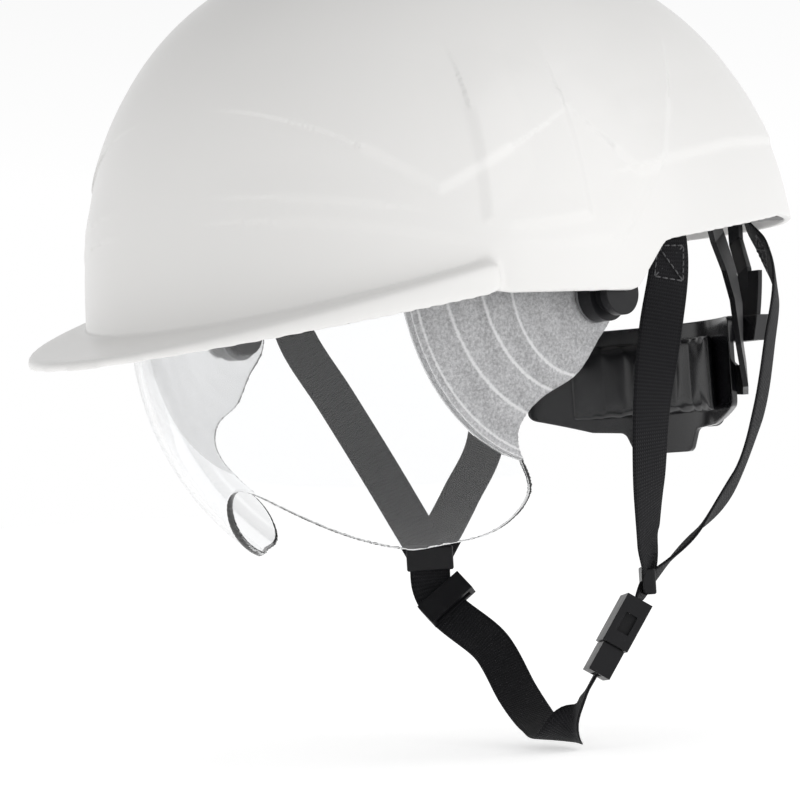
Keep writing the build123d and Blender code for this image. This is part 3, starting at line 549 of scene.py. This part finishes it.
def fair_onto(mesh, level, thick, reach, edge_rounds):
    """Draw the two faces of a wall back onto their true surfaces, and leave its edges round."""
    drawn = np.zeros(len(mesh.vertices))
    for turn in range(4):
        if turn:
            relax(mesh, drawn, 6)
        co, no = coordinates(mesh), normals(mesh)
        drawn = np.zeros(len(co))
        for inset, sense in ((0.0, 1.0), (thick, -1.0)):
            away, slope = distance_from(level(inset), co)
            facing = np.sum(no * slope, axis=1) * sense
            pull = ease(facing, 0.60, 0.85) * (1 - ease(np.abs(away), reach, 1.3 * reach))
            co = co - slope * (away * pull)[:, None]
            drawn = np.maximum(drawn, pull)
        set_coordinates(mesh, co)
    relax(mesh, 1 - drawn, edge_rounds)


def ease(value, low, high):
    t = np.clip((value - low) / (high - low), 0, 1)
    return t * t * (3 - 2 * t)


def side_of_line(y, z, line):
    """Signed distance in millimetres from a polyline in the side view; left of it is positive."""
    best = np.full(len(y), 1e9)
    sign = np.ones(len(y))
    for (y0, z0), (y1, z1) in zip(line, line[1:]):
        dy, dz = y1 - y0, z1 - z0
        span = math.hypot(dy, dz)
        t = np.clip(((y - y0) * dy + (z - z0) * dz) / span**2, 0, 1)
        away = np.hypot(y - y0 - t * dy, z - z0 - t * dz)
        left = (dy * (z - z0) - dz * (y - y0)) / span
        nearer = away < best - 1e-9
        sign = np.where(nearer, np.where(left >= 0, 1.0, -1.0), sign)
        best = np.where(nearer, away, best)
    return best * sign


# Moulded facets in the side view: outline in (Y, Z) millimetres, step, softness and fade.
FACETS = (
    (((-86.4, 49), (-70.2, 34.2), (-46.5, 47.2)), 1.0, 2.0, 34.0),
    (((-56.2, 60), (-57.8, 24), (-50.8, 21.2), (-32.8, 23.1), (-20.5, 25.1), (-22.2, 60)), 0.9, 2.2, 26.0),
    (((-3.9, 47.1), (4.8, 39.8), (15.7, 41.5), (30, 66)), 0.9, 2.0, 30.0),
    (((-0.1, 24.2), (15.7, 41.5)), 0.6, 2.0, 16.0),
    (((15.3, 43.6), (60, 52), (120, 58)), 0.9, 2.2, 26.0),
    (((-105.7, 27.3), (-85.1, 22.6), (-72.8, 19.5), (-57.8, 15.2), (-33.8, 15.3), (-12.9, 17.5)), 0.5, 2.6, 16.0),
    (((-104.8, 35.1), (-85.9, 30.4)), 0.4, 2.0, 12.0),
)


def facet_height(co):
    """Outward step of the moulded facets on both flanks of the dome, in metres."""
    y, z = co[:, 1] / MM, co[:, 2] / MM
    height = np.zeros(len(co))
    for line, step, soft, fade in FACETS:
        away = side_of_line(y, z, line)
        height += step * ease(away, -soft, soft) * np.clip(1 - np.abs(away) / fade, 0, 1)
    flank = ease(np.abs(co[:, 0]) / MM, 14, 34)
    low = ease(z, 6, 14)
    return height * flank * low * MM


def make_shell():
    """Dome and brim with rounded edges, a soft end to the brim's flange and moulded facets."""
    obj = remeshed("shell", "helmet_shell", SHELL_VOXEL, 12)
    mesh = obj.data
    fair_onto(mesh, dome_level, SHELL_WALL, SHELL_DRAW, SHELL_EDGE_ROUNDS)
    co = coordinates(mesh) / MM
    ending = np.exp(-(((co[:, 1] - FLANGE_END) / 3.5) ** 2)) * ease(co[:, 2], 26, 14)
    relax(mesh, ending * (np.abs(co[:, 0]) > 80), 40)
    co, no = coordinates(mesh), normals(mesh)
    away, slope = distance_from(dome_level(0.0), co)
    outside = ease(np.sum(no * slope, axis=1), 0.6, 0.9) * (np.abs(away) < 0.6 * MM)
    set_coordinates(mesh, co + slope * (facet_height(co) * outside)[:, None])
    mesh.shade_smooth()
    dress(obj, "white_shell")
    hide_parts("shell")


def make_lens():
    """Eye shield with true curved faces and rounded edges."""
    obj = remeshed("eyewear_lens", "eye_shield", LENS_VOXEL, 2)
    fair_onto(obj.data, egg_level, LENS_THICK, LENS_DRAW, LENS_EDGE_ROUNDS)
    obj.data.shade_smooth()
    dress(obj, "clear_lens", "eyewear")
    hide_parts("eyewear_lens")


# ---------------------------------------------------------------- chin strap
MERGE_LEFT = (66.0, 39.0, -97.0)
MERGE_RIGHT = (-50.0, 47.2, -87.0)
BUCKLE_DIR = Vector((-8.0, -11.6, -21.5)).normalized()
RUN_TOP = (-50.0, 47.0, -96.0)
RUN_END = (-22.0, 50.0, -121.5)


def below_buckle(distance):
    """Point on the buckle's line, in millimetres from the left merge."""
    return tuple(Vector(MERGE_LEFT) + BUCKLE_DIR * distance)


def chin_routes():
    """Route and facings of each piece of chin webbing, in millimetres."""
    diagonal = (0.72, -0.69, 0.1)
    turn_out = Vector(below_buckle(46))
    under_turn = (turn_out.x - 3, turn_out.y - 1, turn_out.z - 6)
    return {
        "chin_strap_front_left": (
            [(98.3, 25, 29), (98.0, 25, 12), (95.5, 21, -12), (91.5, 18.5, -38), (84.5, 22.5, -64),
             (75, 31, -82), MERGE_LEFT, below_buckle(10)],
            [(1, 0, 0), (1, -0.3, 0), (0.85, -0.55, 0), (0.97, -0.25, 0), (0.99, -0.1, 0),
             (0.98, 0.1, 0), (0.85, 0.4, 0), (0.69, 0.72, 0)],
        ),
        "chin_strap_rear_left": (
            [(66, 104.2, 33), (66.3, 104.6, 28.5), (71, 105.6, 20), (78, 102, 12), (85, 95.7, 3),
             (87.5, 87.5, -16), (88, 77, -43), (82.5, 69.5, -64), (77, 54, -81), (67.2, 41, -95.5)],
            [(0.73, 0.68, 0), (0.73, 0.68, 0), (0.74, 0.67, 0), (0.78, 0.62, 0), (0.82, 0.57, 0),
             (0.87, 0.5, 0), (0.87, 0.5, 0), (0.8, 0.6, 0), (0.6, 0.8, 0), (0.75, 0.6, 0)],
        ),
        "chin_strap_front_right": (
            [(-98.3, 25, 29), (-97.0, 23.5, 12), (-88, 21, -2), (-78, 29.5, -25.4),
             (-66, 38.4, -52.8), MERGE_RIGHT],
            [(1, 0, 0), (1, -0.2, 0), (0.8, -0.6, 0), (0.7, -0.7, 0), (0.7, -0.7, 0), (0.7, -0.7, 0)],
        ),
        "chin_strap_rear_right": (
            [(-66, 104.2, 33), (-66.3, 104.8, 28), (-70, 107.5, 14), (-72, 107, -15), (-71, 103, -42),
             (-61, 76, -66), (-51, 49.5, -85.5)],
            [(0.73, -0.68, 0), (0.73, -0.68, 0), (0.7, -0.7, 0), (0.7, -0.7, 0), (0.75, -0.65, 0),
             (0.75, -0.65, 0), (0.7, -0.7, 0)],
        ),
        "chin_strap_lower": (
            [MERGE_RIGHT, RUN_TOP, RUN_END, (-4, 43, -137), (16, 33, -147), (34, 22, -150),
             under_turn, tuple(turn_out), below_buckle(41), below_buckle(31.8)],
            [(0.7, -0.7, 0), diagonal, diagonal, (0.5, -0.6, 0.6), (0.3, -0.3, 0.9),
             (0.3, 0.1, 0.95), (0.75, 0.55, 0.3), (0.69, 0.72, 0), (0.69, 0.72, 0), (0.69, 0.72, 0)],
        ),
    }


def make_chin_straps():
    for node, (points, facings) in chin_routes().items():
        lower = node == "chin_strap_lower"
        body = None if lower else "helmet"
        piece = strap(node + "_web", points, facings, WEB_WIDTH, WEB_THICK, "black_webbing", body)
        if lower:
            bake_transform(piece)
        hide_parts(node)
        if not lower:
            end_tack(node, points, facings)


def end_tack(node, points, facings):
    """Sewn rectangle with a cross near a strap's upper end, on both of its faces."""
    centre, _, across, facing, length = strap_frames(points, facings, 1.6 * MM)
    first = int(np.searchsorted(length, 12 * MM))
    last = int(np.searchsorted(length, 24 * MM))
    half = WEB_WIDTH / 2 - 2.2 * MM
    runs = []
    for side in (1, -1):
        lift = WEB_THICK / 2 * side
        corner = [
            Vector(centre[i] + across[i] * half * way + facing[i] * lift)
            for i, way in ((first, -1), (first, 1), (last, 1), (last, -1))
        ]
        out = Vector(facing[first]) * side
        runs.append(([*corner, corner[0], corner[2]], out))
        runs.append(([corner[1], corner[3]], out))
    stitches(node + "_tack", runs)


# ---------------------------------------------------------------- crown webbing
def crown_route(turn, centre_y, height, front, rear, low_front, low_rear):
    """Arched route over the crown as two half ellipses, and the way its face looks."""
    points, facings = [], []
    turn = math.radians(turn)
    mid = height + CROWN_WEB_THICK / MM / 2
    for length, low, way in ((front, low_front, -1), (rear, low_rear, 1)):
        reach = length + CROWN_WEB_THICK / MM / 2
        start = math.asin(low / mid)
        steps = 12
        half = []
        for i in range(steps + 1):
            a = start + (math.pi / 2 - start) * i / steps
            y, z = way * reach * math.cos(a), mid * math.sin(a)
            out = Vector((0, y / reach**2, z / mid**2)).normalized()
            spot = Vector((-y * math.sin(turn), y * math.cos(turn) + centre_y, z))
            half.append((tuple(spot), (-out.y * math.sin(turn), out.y * math.cos(turn), out.z)))
        if way == 1:
            half = half[-2::-1]
        points += [p for p, f in half]
        facings += [f for p, f in half]
    return points, facings


CROWN_STRAPS = {
    "crown_strap_side": (90, 0, CROWN_HEIGHT - 2.0, 99.8, 99.8, 44, 44),
    "crown_strap_left": (20.5, BAND_CENTRE_Y, CROWN_HEIGHT + 0.8, 105.0, 128.0, 26, 35),
    "crown_strap_right": (-20.5, BAND_CENTRE_Y, CROWN_HEIGHT + 2.8, 105.0, 128.0, 26, 35),
}


def make_crown():
    """Three crossing straps and the stitched disc that joins them."""
    for node, numbers in CROWN_STRAPS.items():
        points, facings = crown_route(*numbers)
        piece = strap(
            node + "_web", points, facings, CROWN_WEB_WIDTH, CROWN_WEB_THICK, "crown_webbing", step=2.5 * MM
        )
        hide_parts(node)
    make_patch()


def make_patch():
    """Fabric disc with a rolled edge, crowned like the webbing under it."""
    sphere, disc, thick = 170.6 * MM, 24.0 * MM, 1.2 * MM
    centre = Vector((0, BAND_CENTRE_Y * MM, (CROWN_HEIGHT + 4.4) * MM - 170 * MM))
    rings, around = 14, 72
    profile = []
    for i in range(rings + 1):
        share = i / rings
        profile.append((disc * share, thick / 2 * (1 - share**10) ** 0.5))
    loop = profile + [(r, -h) for r, h in reversed(profile[1:-1])]
    vertices, uvs, faces = [], [], []
    for r, h in loop:
        for j in range(around):
            turn = 2 * math.pi * j / around
            level = math.sqrt(sphere**2 - r**2)
            spot = Vector((r * math.cos(turn), r * math.sin(turn), level))
            place = centre + spot.normalized() * (sphere + h)
            vertices.append(place)
            uvs.append((spot.x, spot.y))
    for i in range(len(loop) - 1):
        for j in range(around):
            k = (j + 1) % around
            faces.append((i * around + j, i * around + k, (i + 1) * around + k, (i + 1) * around + j))
    faces.append(tuple((len(loop) - 1) * around + j for j in range(around)))
    patch = new_piece("crown_patch_disc", vertices, faces, "crown_webbing", uvs=uvs)
    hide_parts("crown_patch")
    ring = []
    for j in range(61):
        turn = 2 * math.pi * j / 60
        spot = Vector((20.5 * MM * math.cos(turn), 20.5 * MM * math.sin(turn), 0))
        spot.z = math.sqrt((sphere + thick / 2) ** 2 - spot.length_squared)
        ring.append(centre + spot)
    stitches("crown_patch_seam", [(ring, Vector((0, 0, 1)))])


# ---------------------------------------------------------------- pads
def inflate(obj, voxel, pressure, most):
    """Remesh a pad, blow it up as cloth, and keep each point within reach of where it started."""
    voxels = obj.modifiers.new("voxels", "REMESH")
    voxels.mode = "VOXEL"
    voxels.voxel_size = voxel
    applied(obj)
    start = coordinates(obj.data)
    cloth = obj.modifiers.new("cloth", "CLOTH")
    cloth.settings.use_pressure = True
    cloth.settings.uniform_pressure_force = pressure
    cloth.settings.effector_weights.gravity = 0
    cloth.settings.quality = 5
    scene = bpy.context.scene
    for step in range(1, 21):
        scene.frame_set(step)
    applied(obj)
    scene.frame_set(1)
    moved = coordinates(obj.data) - start
    far = np.maximum(np.linalg.norm(moved, axis=1), 1e-9)
    moved *= (np.minimum(far, most) / far)[:, None]
    set_coordinates(obj.data, start + moved)
    rounder = obj.modifiers.new("rounder", "SUBSURF")
    rounder.levels = rounder.render_levels = 1
    return applied(obj)


def pad_from(node, name, shrink):
    """Copy of a CAD pad, a little smaller, as a new object."""
    obj = bpy.data.objects.new(name, NODES[node].data.copy())
    bpy.context.scene.collection.objects.link(obj)
    mesh = obj.data
    work = bmesh.new()
    work.from_mesh(mesh)
    bmesh.ops.remove_doubles(work, verts=work.verts, dist=1e-6)
    work.to_mesh(mesh)
    work.free()
    set_coordinates(mesh, coordinates(mesh) - normals(mesh) * shrink)
    return obj


def make_brow_pad():
    """Sweatband: crowned towards the forehead, flat on the headband, with sewn channels."""
    obj = inflate(pad_from("brow_pad", "brow_pad_foam", 0.9 * MM), 2.2 * MM, 4.0, 2.4 * MM)
    co = coordinates(obj.data)
    centre, half_width, half_length = BAND_CENTRE_Y * MM, 69.7 * MM, 93.7 * MM
    x, y = co[:, 0], co[:, 1] - centre
    turn = np.arctan2(x / half_width, -y / half_length)
    inner = np.hypot(x / half_width, y / half_length)
    face = ease(inner, 1.045, 1.0)
    channel = np.zeros(len(co))
    for k in range(-4, 5):
        channel += np.exp(-(((turn - k * 0.21) * 80 * MM / (1.3 * MM)) ** 2))
    out = np.stack([x, y, np.zeros(len(co))], axis=1)
    out /= np.linalg.norm(out, axis=1)[:, None]
    co += out * (channel * face * 1.1 * MM)[:, None]
    limit = np.hypot(co[:, 0] / (74.5 * MM), (co[:, 1] - centre) / (98.5 * MM))
    over = np.maximum(limit, 1.0)
    co[:, 0] /= over
    co[:, 1] = centre + (co[:, 1] - centre) / over
    set_coordinates(obj.data, co)
    obj.data.shade_smooth()
    dress(obj, "foam_fabric")
    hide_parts("brow_pad")


def make_nape_pad():
    """Pad on the cradle: crowned towards the neck, flat on the plastic behind it."""
    obj = inflate(pad_from("nape_pad", "nape_pad_foam", 0.9 * MM), 2.2 * MM, 4.0, 2.4 * MM)
    co = coordinates(obj.data)
    centre, radius = 49.7 * MM, 77.3 * MM
    x, y = co[:, 0], co[:, 1] - centre
    away = np.hypot(x, y)
    face = ease(away, radius - 2.6 * MM, radius - 4.4 * MM)
    seam = np.exp(-((x / (1.6 * MM)) ** 2))
    grown = np.minimum(away + seam * face * 0.4 * MM, radius - 0.35 * MM)
    co[:, 0] = x / away * grown
    co[:, 1] = centre + y / away * grown
    set_coordinates(obj.data, co)
    obj.data.shade_smooth()
    dress(obj, "coated_foam", "nape_cradle")
    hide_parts("nape_pad")


# ---------------------------------------------------------------- stage
def area_light(name, place, target, size, power):
    data = bpy.data.lights.new(name, "AREA")
    data.shape = "DISK"
    data.size = size
    data.energy = power
    lamp = bpy.data.objects.new(name, data)
    lamp.location = place
    lamp.rotation_mode = "QUATERNION"
    lamp.rotation_quaternion = (Vector(place) - Vector(target)).to_track_quat("Z", "Y")
    bpy.context.scene.collection.objects.link(lamp)


def make_world():
    """White studio surround that is dimmer overhead."""
    world = bpy.data.worlds.new("studio")
    bpy.context.scene.world = world
    world.use_nodes = True
    nodes, links = world.node_tree.nodes, world.node_tree.links
    place = nodes.new("ShaderNodeTexCoord")
    split = nodes.new("ShaderNodeSeparateXYZ")
    fall = nodes.new("ShaderNodeMapRange")
    fall.inputs["From Min"].default_value = 0.10
    fall.inputs["From Max"].default_value = 0.75
    fall.inputs["To Min"].default_value = 1.0
    fall.inputs["To Max"].default_value = 0.48
    links.new(place.outputs["Generated"], split.inputs[0])
    links.new(split.outputs["Z"], fall.inputs["Value"])
    links.new(fall.outputs["Result"], nodes["Background"].inputs["Strength"])
    nodes["Background"].inputs["Color"].default_value = (1, 1, 1, 1)


def make_stage():
    low = CAD_BOX[0].z - 1.5 * MM
    rings = (0.6, 1.6, 4.0, 12.0)
    around = 48
    vertices = [(0, 0, low)]
    faces = []
    for ring in rings:
        for j in range(around):
            turn = 2 * math.pi * j / around
            vertices.append((ring * math.cos(turn), ring * math.sin(turn), low))
    for j in range(around):
        faces.append((0, 1 + j, 1 + (j + 1) % around))
    for i in range(len(rings) - 1):
        for j in range(around):
            k = (j + 1) % around
            inner, outer = 1 + i * around, 1 + (i + 1) * around
            faces.append((inner + j, outer + j, outer + k, inner + k))
    mesh = bpy.data.meshes.new("floor")
    mesh.from_pydata(vertices, [], faces)
    mesh.materials.append(pale_floor())
    floor = bpy.data.objects.new("floor", mesh)
    bpy.context.scene.collection.objects.link(floor)
    area_light("key", (1.9, 0.9, 0.8), (0, 0, 0), 2.4, 13)


def make_camera():
    azimuth, elevation, roll = CAMERA_AZIMUTH, CAMERA_ELEVATION, CAMERA_ROLL
    back = Vector((
        math.sin(azimuth) * math.cos(elevation),
        -math.cos(azimuth) * math.cos(elevation),
        math.sin(elevation),
    ))
    right = (-back).cross(Vector((0, 0, 1))).normalized()
    up = right.cross(-back)
    side = right * math.cos(roll) - up * math.sin(roll)
    top = right * math.sin(roll) + up * math.cos(roll)
    turn = Matrix((side, top, back)).transposed()
    data = bpy.data.cameras.new("camera")
    data.sensor_width = 36.0
    data.lens = CAMERA_LENS
    data.shift_x, data.shift_y = CAMERA_SHIFT
    data.clip_start, data.clip_end = 0.05, 50.0
    camera = bpy.data.objects.new("camera", data)
    camera.matrix_world = Matrix.Translation(back * CAMERA_DISTANCE) @ turn.to_4x4()
    bpy.context.scene.collection.objects.link(camera)
    bpy.context.scene.camera = camera


# ---------------------------------------------------------------- whole scene
finish_cad_nodes()
make_camera()
make_shell()
make_lens()
make_chin_straps()
make_crown()
make_brow_pad()
make_nape_pad()
make_stage()
make_world()
bpy.context.scene.view_settings.view_transform = "Standard"
